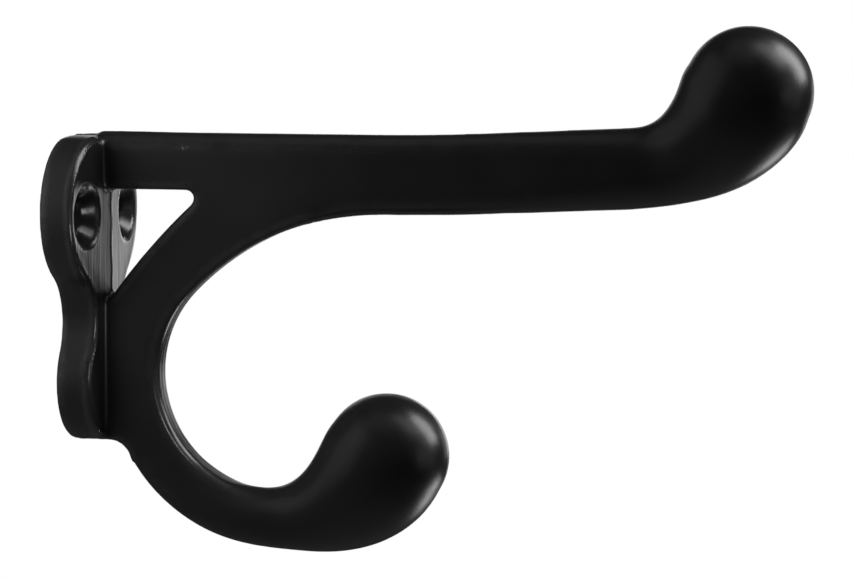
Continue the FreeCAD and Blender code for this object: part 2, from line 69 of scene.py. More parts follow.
Colour = tuple[float, float, float]
Point = tuple[float, float, float]
Span = tuple[float, float]
Socket = bpy.types.NodeSocket

# How far each screw's axis lies from the middle of the plate.
SCREW_ASIDE = 9.5 * MM
# The middle of what a noise gives.
NOISE_MIDDLE = 0.5
# Scales of the coarse grain and of the clouds beside the fine grain, and the weight of the coarse grain.
COARSE_SCALE = 0.22
CLOUD_SCALE = 0.05
COARSE_WEIGHT = 1.5
# File marks for each metre: across, across and along them.
STREAK_SCALE: Point = (1500.0, 1500.0, 80.0)
# Patches of worn edge for each metre, and the noise between which an edge becomes worn.
PATCH_SCALE = 320.0
PATCH_SPAN: Span = (0.25, 0.55)


class Skin(Enum):
    """Values that the cast skin stores on its points for the paint to read."""

    EDGE = "edge"
    DRESSED = "dressed_face"


class Aim(Enum):
    """Points that the lamps are turned to, in metres."""

    ARMS = (0.0, -78.0 * MM, -8.0 * MM)
    PLATE = (0.0, 0.0, -10.0 * MM)
    SEAT_SIDE = (-30.5 * MM, -2.9 * MM, -15.0 * MM)


@dataclass(frozen=True)
class SatinBlack:
    """Satin black paint on a cast surface.

    Attributes:
        colour: The paint's own colour.
        cloud_lift: How many times lighter its cloudy places are.
        rubbed_colour: The paint where handling has polished an edge.
        roughness: Roughness of the painted faces.
        cloud_span: Values of the clouds between which the roughness changes.
        cloud_roughness: How far the clouds change the roughness either way.
        rubbed_roughness: Roughness of a polished edge.
        bored_roughness: Roughness of the screw seats, which were cut after casting.
        screw_seat: Distances from a screw's axis between which its cut seat ends, in metres.
        grain_size: Width of one grain of the cast surface, in metres.
        grain_height: Depth of the grain, in metres.
        streak_height: Depth of the file marks on the plate's front, in metres.
        painted_glint_colour: Painted highlight: the lighter colour that paints a glint on the top edge of
            the arm's root.
        painted_glint_place: Middle of that painted glint, in metres.
        painted_glint_size: Half length and half height of the painted glint, in metres.
        painted_glint_fade: Shares of that size between which the painted glint ends.
        painted_glint_scale: Flecks of the painted glint for each metre.
        painted_glint_flecks: Values of a noise between which a fleck shows.
    """

    colour: Colour = (0.0075, 0.0075, 0.0079)
    cloud_lift: float = 1.35
    rubbed_colour: Colour = (0.018, 0.018, 0.019)
    roughness: float = 0.34
    cloud_span: Span = (0.3, 0.7)
    cloud_roughness: float = 0.03
    rubbed_roughness: float = 0.20
    bored_roughness: float = 0.23
    screw_seat: Span = (4.6 * MM, 4.9 * MM)
    grain_size: float = 0.45 * MM
    grain_height: float = 0.010 * MM
    streak_height: float = 0.075 * MM
    # Painted highlight: the lighter colour and the patch below paint a glint on the top edge of the arm's
    # root.
    painted_glint_colour: Colour = (0.075, 0.072, 0.070)
    painted_glint_place: Point = (-2.9 * MM, -18.6 * MM, 10.3 * MM)
    painted_glint_size: Span = (1.5 * MM, 0.45 * MM)
    painted_glint_fade: Span = (0.2, 1.0)
    painted_glint_scale: float = 2400.0
    painted_glint_flecks: Span = (0.45, 0.62)


@dataclass(frozen=True)
class StagePaper:
    """Matt paper of the floor and the backdrop.

    Attributes:
        name: The material's name.
        shine: Share that looks evenly white to the camera; the lamps light the rest, which keeps shadows.
        mirrored: Share of that white that reflections see.
        colour: The paper's colour.
        roughness: Its roughness.
    """

    name: str
    shine: float
    mirrored: float
    colour: Colour = (0.86, 0.86, 0.86)
    roughness: float = 0.9


class Tree:
    """A node tree that is filled one linked node at a time."""

    def __init__(self, tree: bpy.types.NodeTree) -> None:
        """Start on an emptied tree.

        Args:
            tree: The tree to fill.
        """
        self.tree = tree
        self.tree.nodes.clear()

    def add(self, kind: str, feeds: dict[str, object] | None = None, **settings: object) -> bpy.types.Node:
        """Add one node.

        Args:
            kind: The node's type name.
            feeds: Input name or identifier to the output socket or plain value that feeds it.
            settings: Properties of the node itself.

        Returns:
            The new node.
        """
        node = self.tree.nodes.new(kind)
        for name, value in settings.items():
            setattr(node, name, value)
        sockets = {socket.identifier: socket for socket in node.inputs}
        for name, feed in (feeds or {}).items():
            self.feed(sockets.get(name) or node.inputs[name], feed)
        return node

    def feed(self, target: Socket, feed: object) -> None:
        """Link an input to a socket, or set it to a plain value.

        Args:
            target: The input.
            feed: An output socket or a plain value.
        """
        if isinstance(feed, Socket):
            self.tree.links.new(feed, target)
        else:
            target.default_value = feed

    def group(self, effect: bpy.types.NodeTree, feeds: dict[str, object]) -> bpy.types.NodeOutputs:
        """Place a shared effect.

        Args:
            effect: The effect's node group.
            feeds: Input name to the output socket or plain value that feeds it.

        Returns:
            The effect's outputs.
        """
        node = self.add("ShaderNodeGroup", node_tree=effect)
        for name, feed in feeds.items():
            self.feed(node.inputs[name], feed)
        return node.outputs

    def math(self, operation: str, *terms: object) -> Socket:
        """Add an operation on single values.

        Args:
            operation: The operation's name.
            terms: Output sockets or plain numbers, in order.

        Returns:
            The result.
        """
        node = self.add("ShaderNodeMath", operation=operation)
        for target, term in zip(node.inputs, terms):
            self.feed(target, term)
        return node.outputs["Value"]

    def product(self, first: Socket, *others: object) -> Socket:
        """Multiply several values.

        Args:
            first: The first value.
            others: Output sockets or plain numbers.

        Returns:
            The product.
        """
        result = first
        for other in others:
            result = self.math("MULTIPLY", result, other)
        return result

    def vector(self, operation: str, *terms: object, result: str = "Vector") -> Socket:
        """Add an operation on vectors.

        Args:
            operation: The operation's name.
            terms: Output sockets or plain vectors, in order.
            result: Name of the output, Vector or Value.

        Returns:
            The result.
        """
        node = self.add("ShaderNodeVectorMath", operation=operation)
        for target, term in zip(node.inputs, terms):
            self.feed(target, term)
        return node.outputs[result]

    def scaled(self, vector: Socket, factor: object) -> Socket:
        """Multiply a vector by a value."""
        feeds = {"Vector": vector, "Scale": factor}
        return self.add("ShaderNodeVectorMath", feeds, operation="SCALE").outputs["Vector"]

    def parts(self, vector: Socket) -> tuple[Socket, Socket, Socket]:
        """Split a vector into its three parts."""
        outputs = self.add("ShaderNodeSeparateXYZ", {"Vector": vector}).outputs
        return outputs["X"], outputs["Y"], outputs["Z"]

    def rise(self, value: Socket, low: float, high: float, first: float = 0.0, last: float = 1.0) -> Socket:
        """Ease a value from one number to another.

        Args:
            value: The value that drives the change.
            low: The value at which the change starts.
            high: The value at which it is complete.
            first: The result up to low.
            last: The result from high on.

        Returns:
            The eased value.
        """
        feeds = {"Value": value, "From Min": low, "From Max": high, "To Min": first, "To Max": last}
        return self.add("ShaderNodeMapRange", feeds, interpolation_type="SMOOTHSTEP").outputs["Result"]

    def fall(self, value: Socket, low: float, high: float) -> Socket:
        """Ease a value from one down to nothing."""
        return self.rise(value, low, high, 1.0, 0.0)

    def tint(self, mask: Socket, bare: object, covered: object) -> Socket:
        """Blend two colours by a mask.

        Args:
            mask: 0 shows the first colour and 1 the second.
            bare: The first colour, a socket or three numbers.
            covered: The second colour, a socket or three numbers.

        Returns:
            The blended colour.
        """
        colours = [c if isinstance(c, Socket) else (*c, 1.0) for c in (bare, covered)]
        feeds = {"Factor_Float": mask, "A_Color": colours[0], "B_Color": colours[1]}
        node = self.add("ShaderNodeMix", feeds, data_type="RGBA")
        return next(socket for socket in node.outputs if socket.identifier == "Result_Color")

    def noise(self, place: Socket, scale: object, detail: float = 2.0, roughness: float = 0.5) -> Socket:
        """Add a noise of about 0 to 1 at a place."""
        feeds = {"Vector": place, "Scale": scale, "Detail": detail, "Roughness": roughness}
        return self.add("ShaderNodeTexNoise", feeds).outputs["Fac"]

    def from_screw(self, x: Socket, z: Socket) -> Socket:
        """Measure how far a place lies from the nearer screw's axis."""
        aside = self.math("SUBTRACT", self.math("ABSOLUTE", x), SCREW_ASIDE)
        return self.math("SQRT", self.math("MULTIPLY_ADD", aside, aside, self.product(z, z)))


def new_group(kind: str, name: str, inputs: dict[str, str], outputs: dict[str, str]) -> bpy.types.NodeTree:
    """Start a node group with named sockets.

    Args:
        kind: The tree's type, shader or geometry.
        name: The group's name.
        inputs: Input name to its socket type.
        outputs: Output name to its socket type.

    Returns:
        The empty group.
    """
    group = bpy.data.node_groups.new(name, kind)
    for label, socket_type in inputs.items():
        group.interface.new_socket(label, in_out="INPUT", socket_type=socket_type)
    for label, socket_type in outputs.items():
        group.interface.new_socket(label, in_out="OUTPUT", socket_type=socket_type)
    return group


def cast_grain_group() -> bpy.types.NodeTree:
    """Build the effect of a painted cast surface: fine grain and slow cloudy changes.

    Returns:
        A group with the inputs Place and Size and the outputs Height and Cloud.
    """
    group = new_group("ShaderNodeTree", "cast_grain",
                      {"Place": "NodeSocketVector", "Size": "NodeSocketFloat"},
                      {"Height": "NodeSocketFloat", "Cloud": "NodeSocketFloat"})
    tree = Tree(group)
    given = tree.add("NodeGroupInput").outputs
    scale = tree.math("DIVIDE", 1.0, given["Size"])
    fine = tree.noise(given["Place"], scale, detail=3.0, roughness=0.6)
    coarse = tree.noise(given["Place"], tree.product(scale, COARSE_SCALE))
    cloud = tree.noise(given["Place"], tree.product(scale, CLOUD_SCALE), detail=3.0)
    height = tree.math("MULTIPLY_ADD", coarse, COARSE_WEIGHT, fine)
    tree.add("NodeGroupOutput", {"Height": height, "Cloud": cloud})
    return group


def file_streak_group() -> bpy.types.NodeTree:
    """Build the effect of upright file marks on a dressed face.

    Returns:
        A group with the input Place and the output Height.
    """
    group = new_group("ShaderNodeTree", "file_streaks", {"Place": "NodeSocketVector"},
                      {"Height": "NodeSocketFloat"})
    tree = Tree(group)
    given = tree.add("NodeGroupInput").outputs
    drawn_out = tree.add("ShaderNodeMapping", {"Vector": given["Place"], "Scale": STREAK_SCALE})
    marks = tree.noise(drawn_out.outputs["Vector"], 1.0, roughness=0.65)
    tree.add("NodeGroupOutput", {"Height": marks})
    return group


def rubbed_edge_group() -> bpy.types.NodeTree:
    """Build the effect of edges polished by handling, broken up by a slow noise.

    Returns:
        A group with the inputs Edge and Place and the output Mask.
    """
    group = new_group("ShaderNodeTree", "rubbed_edges",
                      {"Edge": "NodeSocketFloat", "Place": "NodeSocketVector"}, {"Mask": "NodeSocketFloat"})
    tree = Tree(group)
    given = tree.add("NodeGroupInput").outputs
    patches = tree.noise(given["Place"], PATCH_SCALE, detail=4.0)
    mask = tree.product(given["Edge"], tree.rise(patches, *PATCH_SPAN))
    tree.add("NodeGroupOutput", {"Mask": mask})
    return group


def painted_glint_mask(tree: Tree, place: Socket, finish: SatinBlack) -> Socket:
    """Mask the painted highlight, a glint on the top edge of the arm's root, which is short, ragged and
    broken into flecks.

    Args:
        tree: The material's tree.
        place: Where the paint is.
        finish: The paint's values.

    Returns:
        The mask, 1 where the paint is scuffed.
    """
    long, tall = finish.painted_glint_size
    offset = tree.vector("SUBTRACT", place, finish.painted_glint_place)
    distance = tree.vector("LENGTH", tree.vector("DIVIDE", offset, (long, long, tall)), result="Value")
    flecks = tree.rise(tree.noise(place, finish.painted_glint_scale), *finish.painted_glint_flecks)
    return tree.product(tree.fall(distance, *finish.painted_glint_fade), flecks)


def paint_material(finish: SatinBlack) -> bpy.types.Material:
    """Mix the hook's paint.

    Args:
        finish: The paint's values.

    Returns:
        The material.
    """
    material = bpy.data.materials.new("satin_black_paint")
    material.use_nodes = True
    tree = Tree(material.node_tree)
    place = tree.add("ShaderNodeTexCoord").outputs["Object"]
    edge = tree.add("ShaderNodeAttribute", attribute_name=Skin.EDGE.value).outputs["Fac"]
    dressed = tree.add("ShaderNodeAttribute", attribute_name=Skin.DRESSED.value).outputs["Fac"]
    grain = tree.group(cast_grain_group(), {"Place": place, "Size": finish.grain_size})
    streaks = tree.group(file_streak_group(), {"Place": place})
    rubbed = tree.group(rubbed_edge_group(), {"Edge": edge, "Place": place})["Mask"]

    cloudy = tree.tint(grain["Cloud"], finish.colour, [finish.cloud_lift * part for part in finish.colour])
    colour = tree.tint(rubbed, cloudy, finish.rubbed_colour)
    # Painted highlight: a lighter, ragged patch paints a glint on the top edge of the arm's root.
    colour = tree.tint(painted_glint_mask(tree, place, finish), colour, finish.painted_glint_colour)

    smoother = finish.roughness - finish.cloud_roughness
    rougher = finish.roughness + finish.cloud_roughness
    gloss = tree.rise(grain["Cloud"], *finish.cloud_span, smoother, rougher)
    gloss = tree.math("MULTIPLY_ADD", rubbed, finish.rubbed_roughness - finish.roughness, gloss)
    x, _, z = tree.parts(place)
    bored = tree.fall(tree.from_screw(x, z), *finish.screw_seat)
    gloss = tree.math("MULTIPLY_ADD", bored, finish.bored_roughness - finish.roughness, gloss)

    marks = tree.product(streaks["Height"], dressed, finish.streak_height)
    relief = tree.math("MULTIPLY_ADD", grain["Height"], finish.grain_height, marks)
    bump = tree.add("ShaderNodeBump", {"Height": relief, "Strength": 1.0, "Distance": 1.0})
    shader = tree.add("ShaderNodeBsdfPrincipled",
                      {"Base Color": colour, "Roughness": gloss, "Normal": bump.outputs["Normal"]})
    tree.add("ShaderNodeOutputMaterial", {"Surface": shader.outputs["BSDF"]})
    return material


def paper_material(paper: StagePaper) -> bpy.types.Material:
    """Make the stage's paper: partly lit by the lamps and partly white by itself, so that it looks pale.

    Args:
        paper: The paper's values.

    Returns:
        The material.
    """
    material = bpy.data.materials.new(paper.name)
    material.use_nodes = True
    tree = Tree(material.node_tree)
    matt = tree.add("ShaderNodeBsdfPrincipled",
                    {"Base Color": (*paper.colour, 1.0), "Roughness": paper.roughness})
    white = tree.add("ShaderNodeEmission", {"Strength": 1.0})
    pale = tree.add("ShaderNodeMixShader", {
        "Fac": tree.product(seen(tree, paper.mirrored), paper.shine),
        "Shader": matt.outputs["BSDF"],
        "Shader_001": white.outputs["Emission"],
    })
    tree.add("ShaderNodeOutputMaterial", {"Surface": pale.outputs["Shader"]})
    # The white is only looked at, so it isn't searched for light as a lamp is.
    material.cycles.emission_sampling = "NONE"
    return material


def seen(tree: Tree, mirrored: float) -> Socket:
    """Add a mask of what the camera sees by itself, through glass or in a reflection.

    Args:
        tree: The tree to add to.
        mirrored: The mask's value in a reflection.

    Returns:
        The mask, 1 for what is seen directly or through glass.
    """
    ray = tree.add("ShaderNodeLightPath").outputs
    direct = tree.math("MAXIMUM", ray["Is Camera Ray"], ray["Is Transmission Ray"])
    return tree.math("MAXIMUM", direct, tree.product(ray["Is Glossy Ray"], mirrored))


@dataclass(frozen=True)
class CastPlaces:
    """Where on the casting each part of the skin's shaping starts and ends.

    Depths count from the wall. A span runs from the start of a change to its end.

    Attributes:
        seam_scale: Turns of the parting seam for each metre.
        seam_wander: Width of the band in which the seam wanders, in metres.
        seam_foot: Half width of the seam's foot, in seam widths.
        seam_dressing: Depths over which the seam gets lower, in metres.
        seam_left: Share of the seam's height that is left beyond them.
        rim_start: Depths over which the rim's filling starts, as shares of the plate's thickness.
        rim_end: Depths over which it ends, as shares of the plate's thickness.
        rim_web: Distances from the middle over which it starts beside the web, in metres.
        rim_screw: Distances from a screw's axis over which it starts, in metres.
        throat_start: Depths over which the throat's filling starts, in metres.
        throat_arm: Depths over which it ends along the arm, in metres.
        throat_ring: Depths over which it ends along the ring, in metres.
        ring_top: Heights over which the ring passes into the arm, in metres.
        throat_facing: Shares of a normal that face away from the wall, over which the filling starts.
        throat_level: Square of a normal's sideways share at which the filling turns from hollow to full.
        least_upright: Least upright share of a normal that the facing is measured by.
        front_start: Depths over which the front's fall starts, as shares of the plate's thickness.
        front_end: Depths over which it ends, as shares of the plate's thickness.
        edge_span: Shares of the full edge height over which a point becomes an edge.
        dressed_facing: Forward shares of a normal over which a face counts as the dressed front.
        dressed_reach: Depth up to which it does, as a share of the plate's thickness.
    """

    seam_scale: float = 260.0
    seam_wander: float = 0.9 * MM
    seam_foot: float = 1.6
    seam_dressing: Span = (7.0 * MM, 20.0 * MM)
    seam_left: float = 0.25
    rim_start: Span = (0.60, 0.74)
    rim_end: Span = (1.01, 1.06)
    rim_web: Span = (3.6 * MM, 5.0 * MM)
    rim_screw: Span = (4.95 * MM, 5.35 * MM)
    throat_start: Span = (9.0 * MM, 12.0 * MM)
    throat_arm: Span = (45.0 * MM, 62.0 * MM)
    throat_ring: Span = (27.0 * MM, 38.0 * MM)
    ring_top: Span = (-18.0 * MM, -8.0 * MM)
    throat_facing: Span = (0.10, 0.45)
    throat_level: float = 0.16
    least_upright: float = 0.05
    front_start: Span = (0.50, 1.0)
    front_end: Span = (1.01, 1.20)
    edge_span: Span = (0.15, 1.0)
    dressed_facing: Span = (0.93, 0.99)
    dressed_reach: float = 1.03


class SkinShaping:
    """The shaping of the cast skin, as values in its node tree."""

    def __init__(self, tree: Tree, given: bpy.types.NodeOutputs, places: CastPlaces) -> None:
        """Start on the skin's tree.

        Args:
            tree: The skin's tree.
            given: The tree's inputs.
            places: Where each part of the shaping starts and ends.
        """
        self.tree = tree
        self.given = given
        self.places = places
        self.place = tree.add("GeometryNodeInputPosition").outputs["Position"]
        self.normal = tree.add("GeometryNodeInputNormal").outputs["Normal"]
        self.x, y, self.z = tree.parts(self.place)
        self.level, outward, _ = tree.parts(self.normal)
        self.forward = tree.product(outward, -1.0)
        self.depth = tree.product(y, -1.0)
        self.plate_depth = tree.math("DIVIDE", self.depth, given["Plate Front"])

    def averaged(self, rounds: str) -> Socket:
        """Average each point's place with its neighbours.

        Args:
            rounds: Name of the input that says how many times.

        Returns:
            The averaged place.
        """
        feeds = {"Value": self.place, "Iterations": self.given[rounds]}
        return self.tree.add("GeometryNodeBlurAttribute", feeds, data_type="FLOAT_VECTOR").outputs["Value"]

    def rest_of_square(self, square: Socket) -> Socket:
        """Take the side of a unit triangle whose other side's square is given."""
        left = self.tree.math("SUBTRACT", 1.0, square)
        return self.tree.math("SQRT", self.tree.math("MAXIMUM", left, 0.0))

    def ripple_lift(self) -> Socket:
        """Return how far slow waves of the cast faces move each point along its normal."""
        wave = self.tree.noise(self.place, self.tree.math("DIVIDE", 1.0, self.given["Ripple Size"]))
        return self.tree.product(self.tree.math("SUBTRACT", wave, NOISE_MIDDLE), self.given["Ripple Height"])

    def seam_lift(self) -> Socket:
        """Raise the seam that the mould's two halves left along the middle of the casting.

        Returns:
            How far each point moves along its normal.
        """
        tree, places = self.tree, self.places
        along = tree.vector("MULTIPLY", self.place, (0.0, 1.0, 1.0))
        wander = tree.math("SUBTRACT", tree.noise(along, places.seam_scale), NOISE_MIDDLE)
        across = tree.math("MULTIPLY_ADD", wander, places.seam_wander, self.x)
        away = tree.math("DIVIDE", tree.math("ABSOLUTE", across), self.given["Seam Width"])
        left = tree.rise(self.depth, *places.seam_dressing, 1.0, places.seam_left)
        return tree.product(tree.fall(away, 0.0, places.seam_foot), left, self.given["Seam Height"])

    def rim_lift(self) -> Socket:
        """Fill the plate's front rim so that it turns more tightly than the even rounding.

        Returns:
            How far each point moves along its normal.
        """
        tree, places = self.tree, self.places
        forward = tree.math("MAXIMUM", self.forward, 0.0)
        sideways = self.rest_of_square(tree.product(forward, forward))
        turn = tree.product(forward, sideways, 2.0)
        on_rim = tree.product(tree.rise(self.plate_depth, *places.rim_start),
                              tree.fall(self.plate_depth, *places.rim_end))
        off_web = tree.rise(tree.math("ABSOLUTE", self.x), *places.rim_web)
        off_screw = tree.rise(tree.from_screw(self.x, self.z), *places.rim_screw)
        return tree.product(turn, tree.product(on_rim, off_web, off_screw), self.given["Rim Fill"])

    def throat_lift(self) -> Socket:
        """Square up the wall of the throat: flatter along its middle and fuller at its shoulders.

        Returns:
            How far each point moves along its normal.
        """
        tree, places = self.tree, self.places
        aside = tree.product(self.level, self.level)
        upright = tree.math("MAXIMUM", self.rest_of_square(aside), places.least_upright)
        fuller = tree.product(tree.math("SUBTRACT", aside, places.throat_level),
                              tree.math("SUBTRACT", 1.0, aside))
        facing = tree.rise(tree.math("DIVIDE", self.forward, upright), *places.throat_facing)
        past_plate = tree.rise(self.depth, *places.throat_start)
        on_arm = tree.fall(self.depth, *places.throat_arm)
        on_ring = tree.fall(self.depth, *places.throat_ring)
        low = tree.fall(self.z, *places.ring_top)
        before_ball = tree.math("MULTIPLY_ADD", low, tree.math("SUBTRACT", on_ring, on_arm), on_arm)
        return tree.product(fuller, tree.product(past_plate, before_ball, facing), self.given["Throat Fill"])

    def front_drop(self) -> Socket:
        """Let the plate's front fall away from the parting line to both sides.

        Returns:
            How far each point moves back towards the wall.
        """
        tree, places = self.tree, self.places
        share = tree.math("DIVIDE", tree.math("ABSOLUTE", self.x), self.given["Plate Reach"])
        near_front = tree.product(tree.rise(self.plate_depth, *places.front_start),
                                  tree.fall(self.plate_depth, *places.front_end))
        return tree.product(share, near_front, self.given["Front Fall"])

    def edge(self) -> Socket:
        """Find the edges, which stand out from the averaged skin.

        Returns:
            How much each point stands out as an edge, from 0 to 1.
        """
        tree = self.tree
        out = tree.vector("SUBTRACT", self.place, self.averaged("Edge Reach"))
        proud = tree.vector("DOT_PRODUCT", out, self.normal, result="Value")
        return tree.rise(tree.math("DIVIDE", proud, self.given["Edge Height"]), *self.places.edge_span)

    def dressed(self) -> Socket:
        """Find the plate's front, which was dressed with a file.

        Returns:
            How much each point lies on the dressed front, from 0 to 1.
        """
        reach = self.tree.product(self.given["Plate Front"], self.places.dressed_reach)
        on_plate = self.tree.math("LESS_THAN", self.depth, reach)
        return self.tree.product(self.tree.rise(self.forward, *self.places.dressed_facing), on_plate)


SKIN_INPUTS: dict[str, str] = {
    "Geometry": "NodeSocketGeometry",
    "Softening": "NodeSocketInt",
    "Edge Reach": "NodeSocketInt",
    "Edge Height": "NodeSocketFloat",
    "Ripple Size": "NodeSocketFloat",
    "Ripple Height": "NodeSocketFloat",
    "Plate Front": "NodeSocketFloat",
    "Plate Reach": "NodeSocketFloat",
    "Front Fall": "NodeSocketFloat",
    "Rim Fill": "NodeSocketFloat",
    "Throat Fill": "NodeSocketFloat",
    "Seam Width": "NodeSocketFloat",
    "Seam Height": "NodeSocketFloat",
    "Box Low": "NodeSocketVector",
    "Box High": "NodeSocketVector",
    "Material": "NodeSocketMaterial",
}


def cast_skin_tree(places: CastPlaces) -> bpy.types.NodeTree:
    """Build the tree that turns an even mesh into a cast skin.

    Edges are softened by averaging each point with its neighbours. Then slow waves, the parting seam, the
    plate's rim and front and the throat's wall are shaped, all kept inside the solid's box. Last, each point
    learns how far it stands out as an edge and whether it lies on the plate's dressed front.

    Args:
        places: Where each part of the shaping starts and ends.

    Returns:
        The geometry node tree.
    """
    group = new_group("GeometryNodeTree", "cast_skin", SKIN_INPUTS, {"Geometry": "NodeSocketGeometry"})
    tree = Tree(group)
    given = tree.add("NodeGroupInput").outputs
    shaping = SkinShaping(tree, given, places)

    def step(kind: str, geometry: Socket, feeds: dict[str, object], **settings: object) -> Socket:
        """Add a node that changes the geometry, and return what it puts out."""
        return tree.add(kind, {"Geometry": geometry, **feeds}, **settings).outputs["Geometry"]

    skin = step("GeometryNodeSetPosition", given["Geometry"], {"Position": shaping.averaged("Softening")})

    lift = shaping.ripple_lift()
    for more in (shaping.seam_lift(), shaping.rim_lift(), shaping.throat_lift()):
        lift = tree.math("ADD", lift, more)
    drop = tree.add("ShaderNodeCombineXYZ", {"Y": shaping.front_drop()}).outputs["Vector"]
    offset = tree.vector("ADD", tree.scaled(shaping.normal, lift), drop)
    skin = step("GeometryNodeSetPosition", skin, {"Offset": offset})

    above = tree.vector("MAXIMUM", shaping.place, given["Box Low"])
    kept_in = tree.vector("MINIMUM", above, given["Box High"])
    skin = step("GeometryNodeSetPosition", skin, {"Position": kept_in})

    for name, value in ((Skin.EDGE, shaping.edge()), (Skin.DRESSED, shaping.dressed())):
        skin = step("GeometryNodeStoreNamedAttribute", skin, {"Name": name.value, "Value": value},
                    data_type="FLOAT", domain="POINT")
    skin = step("GeometryNodeSetShadeSmooth", skin, {})
    skin = step("GeometryNodeRealizeInstances", skin, {})
    skin = step("GeometryNodeSetMaterial", skin, {"Material": given["Material"]})
    tree.add("NodeGroupOutput", {"Geometry": skin})
    return group


@dataclass
class CastHook:
    """The casting with its soft skin: every edge a little round, every corner a little filled.

    Attributes:
        node: Name of the solid that it stands for.
        slot: The record's material slot; not used.
        finish: The paint.
        places: Where each part of the skin's shaping starts and ends.
        merge_distance: How near points of the solid's mesh are one point, in metres.
        voxel: Width of the skin's mesh, in metres.
        softening: Rounds of smoothing that soften edges and corners.
        edge_reach: Rounds of smoothing over which an edge is felt.
        edge_height: How far an edge stands out of the smoothed skin where it counts in full, in metres.
        ripple_size: Width of the slow waves of the cast faces, in metres.
        ripple_height: Height of those waves, in metres.
        plate_front: How far the plate's front stands out from the wall, in metres.
        plate_reach: Half the plate's width, in metres.
        front_fall: How far the plate's front falls away from the parting line to its sides, in metres.
        rim_fill: How much fuller the plate's front rim is than an even rounding, in metres.
        throat_fill: How much fuller the shoulders of the hook's throat are than a full round, in metres.
        seam_width: Half width of the parting seam, in metres.
        seam_height: How far the parting seam stands out, in metres.
    """

    node: str = "double_hook"
    slot: str = "black_finish"
    finish: SatinBlack = field(default_factory=SatinBlack)
    places: CastPlaces = field(default_factory=CastPlaces)
    merge_distance: float = 1e-7
    voxel: float = 0.375 * MM
    softening: int = 3
    edge_reach: int = 14
    edge_height: float = 0.16 * MM
    ripple_size: float = 9.0 * MM
    ripple_height: float = 0.02 * MM
    plate_front: float = 6.1 * MM
    plate_reach: float = 16.0 * MM
    front_fall: float = 0.42 * MM
    rim_fill: float = 0.34 * MM
    throat_fill: float = 1.7 * MM
    seam_width: float = 0.34 * MM
    seam_height: float = 0.17 * MM

    def build(self, solid: bpy.types.Object) -> bpy.types.Object:
        """Make the skin and dress it.

        Args:
            solid: The solid's own object, which is left as it is.

        Returns:
            The finished piece.
        """
        piece = self.copy_solid(solid)
        self.close_skin(piece)
        self.shape_skin(piece)
        self.settle(piece)
        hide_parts(self.node)
        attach(piece, BODY)
        return piece

    def copy_solid(self, solid: bpy.types.Object) -> bpy.types.Object:
        """Copy the solid's loose triangles into one closed mesh.

        Args:
            solid: The solid's own object.

        Returns:
            A new object with the closed mesh.
        """
        shell = bmesh.new()
        shell.from_mesh(solid.data)
        bmesh.ops.remove_doubles(shell, verts=shell.verts, dist=self.merge_distance)
        mesh = bpy.data.meshes.new("cast_hook")
        shell.to_mesh(mesh)
        shell.free()
        piece = bpy.data.objects.new("cast_hook", mesh)
        bpy.context.scene.collection.objects.link(piece)
        return piece

    def close_skin(self, piece: bpy.types.Object) -> None:
        """Lay an even mesh over the whole casting.

        Args:
            piece: The closed copy of the solid.
        """
        skin = piece.modifiers.new("even_skin", "REMESH")
        skin.mode = "VOXEL"
        skin.voxel_size = self.voxel
        skin.adaptivity = 0.0
        skin.use_smooth_shade = True

    def shape_skin(self, piece: bpy.types.Object) -> None:
        """Add the node tree that shapes the skin and stores what the paint reads.

        Args:
            piece: The piece with its even mesh.
        """
        tree = cast_skin_tree(self.places)
        skin = piece.modifiers.new("cast_skin", "NODES")
        skin.node_group = tree
        low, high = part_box(self.node)
        values = {
            "Box Low": low,
            "Box High": high,
            "Softening": self.softening,
            "Edge Reach": self.edge_reach,
            "Edge Height": self.edge_height,
            "Ripple Size": self.ripple_size,
            "Ripple Height": self.ripple_height,
            "Plate Front": self.plate_front,
            "Plate Reach": self.plate_reach,
            "Front Fall": self.front_fall,
            "Rim Fill": self.rim_fill,
            "Throat Fill": self.throat_fill,
            "Seam Width": self.seam_width,
            "Seam Height": self.seam_height,
            "Material": paint_material(self.finish),
        }
        for item in tree.interface.items_tree:
            if item.in_out == "INPUT" and item.name in values:
                skin[item.identifier] = values[item.name]

    def settle(self, piece: bpy.types.Object) -> None:
        """Turn the modifiers' result into the piece's plain mesh.

        Args:
            piece: The piece with its modifiers.
        """
        view = bpy.context.evaluated_depsgraph_get()
        mesh = bpy.data.meshes.new_from_object(piece.evaluated_get(view))
        piece.modifiers.clear()
        piece.data = mesh


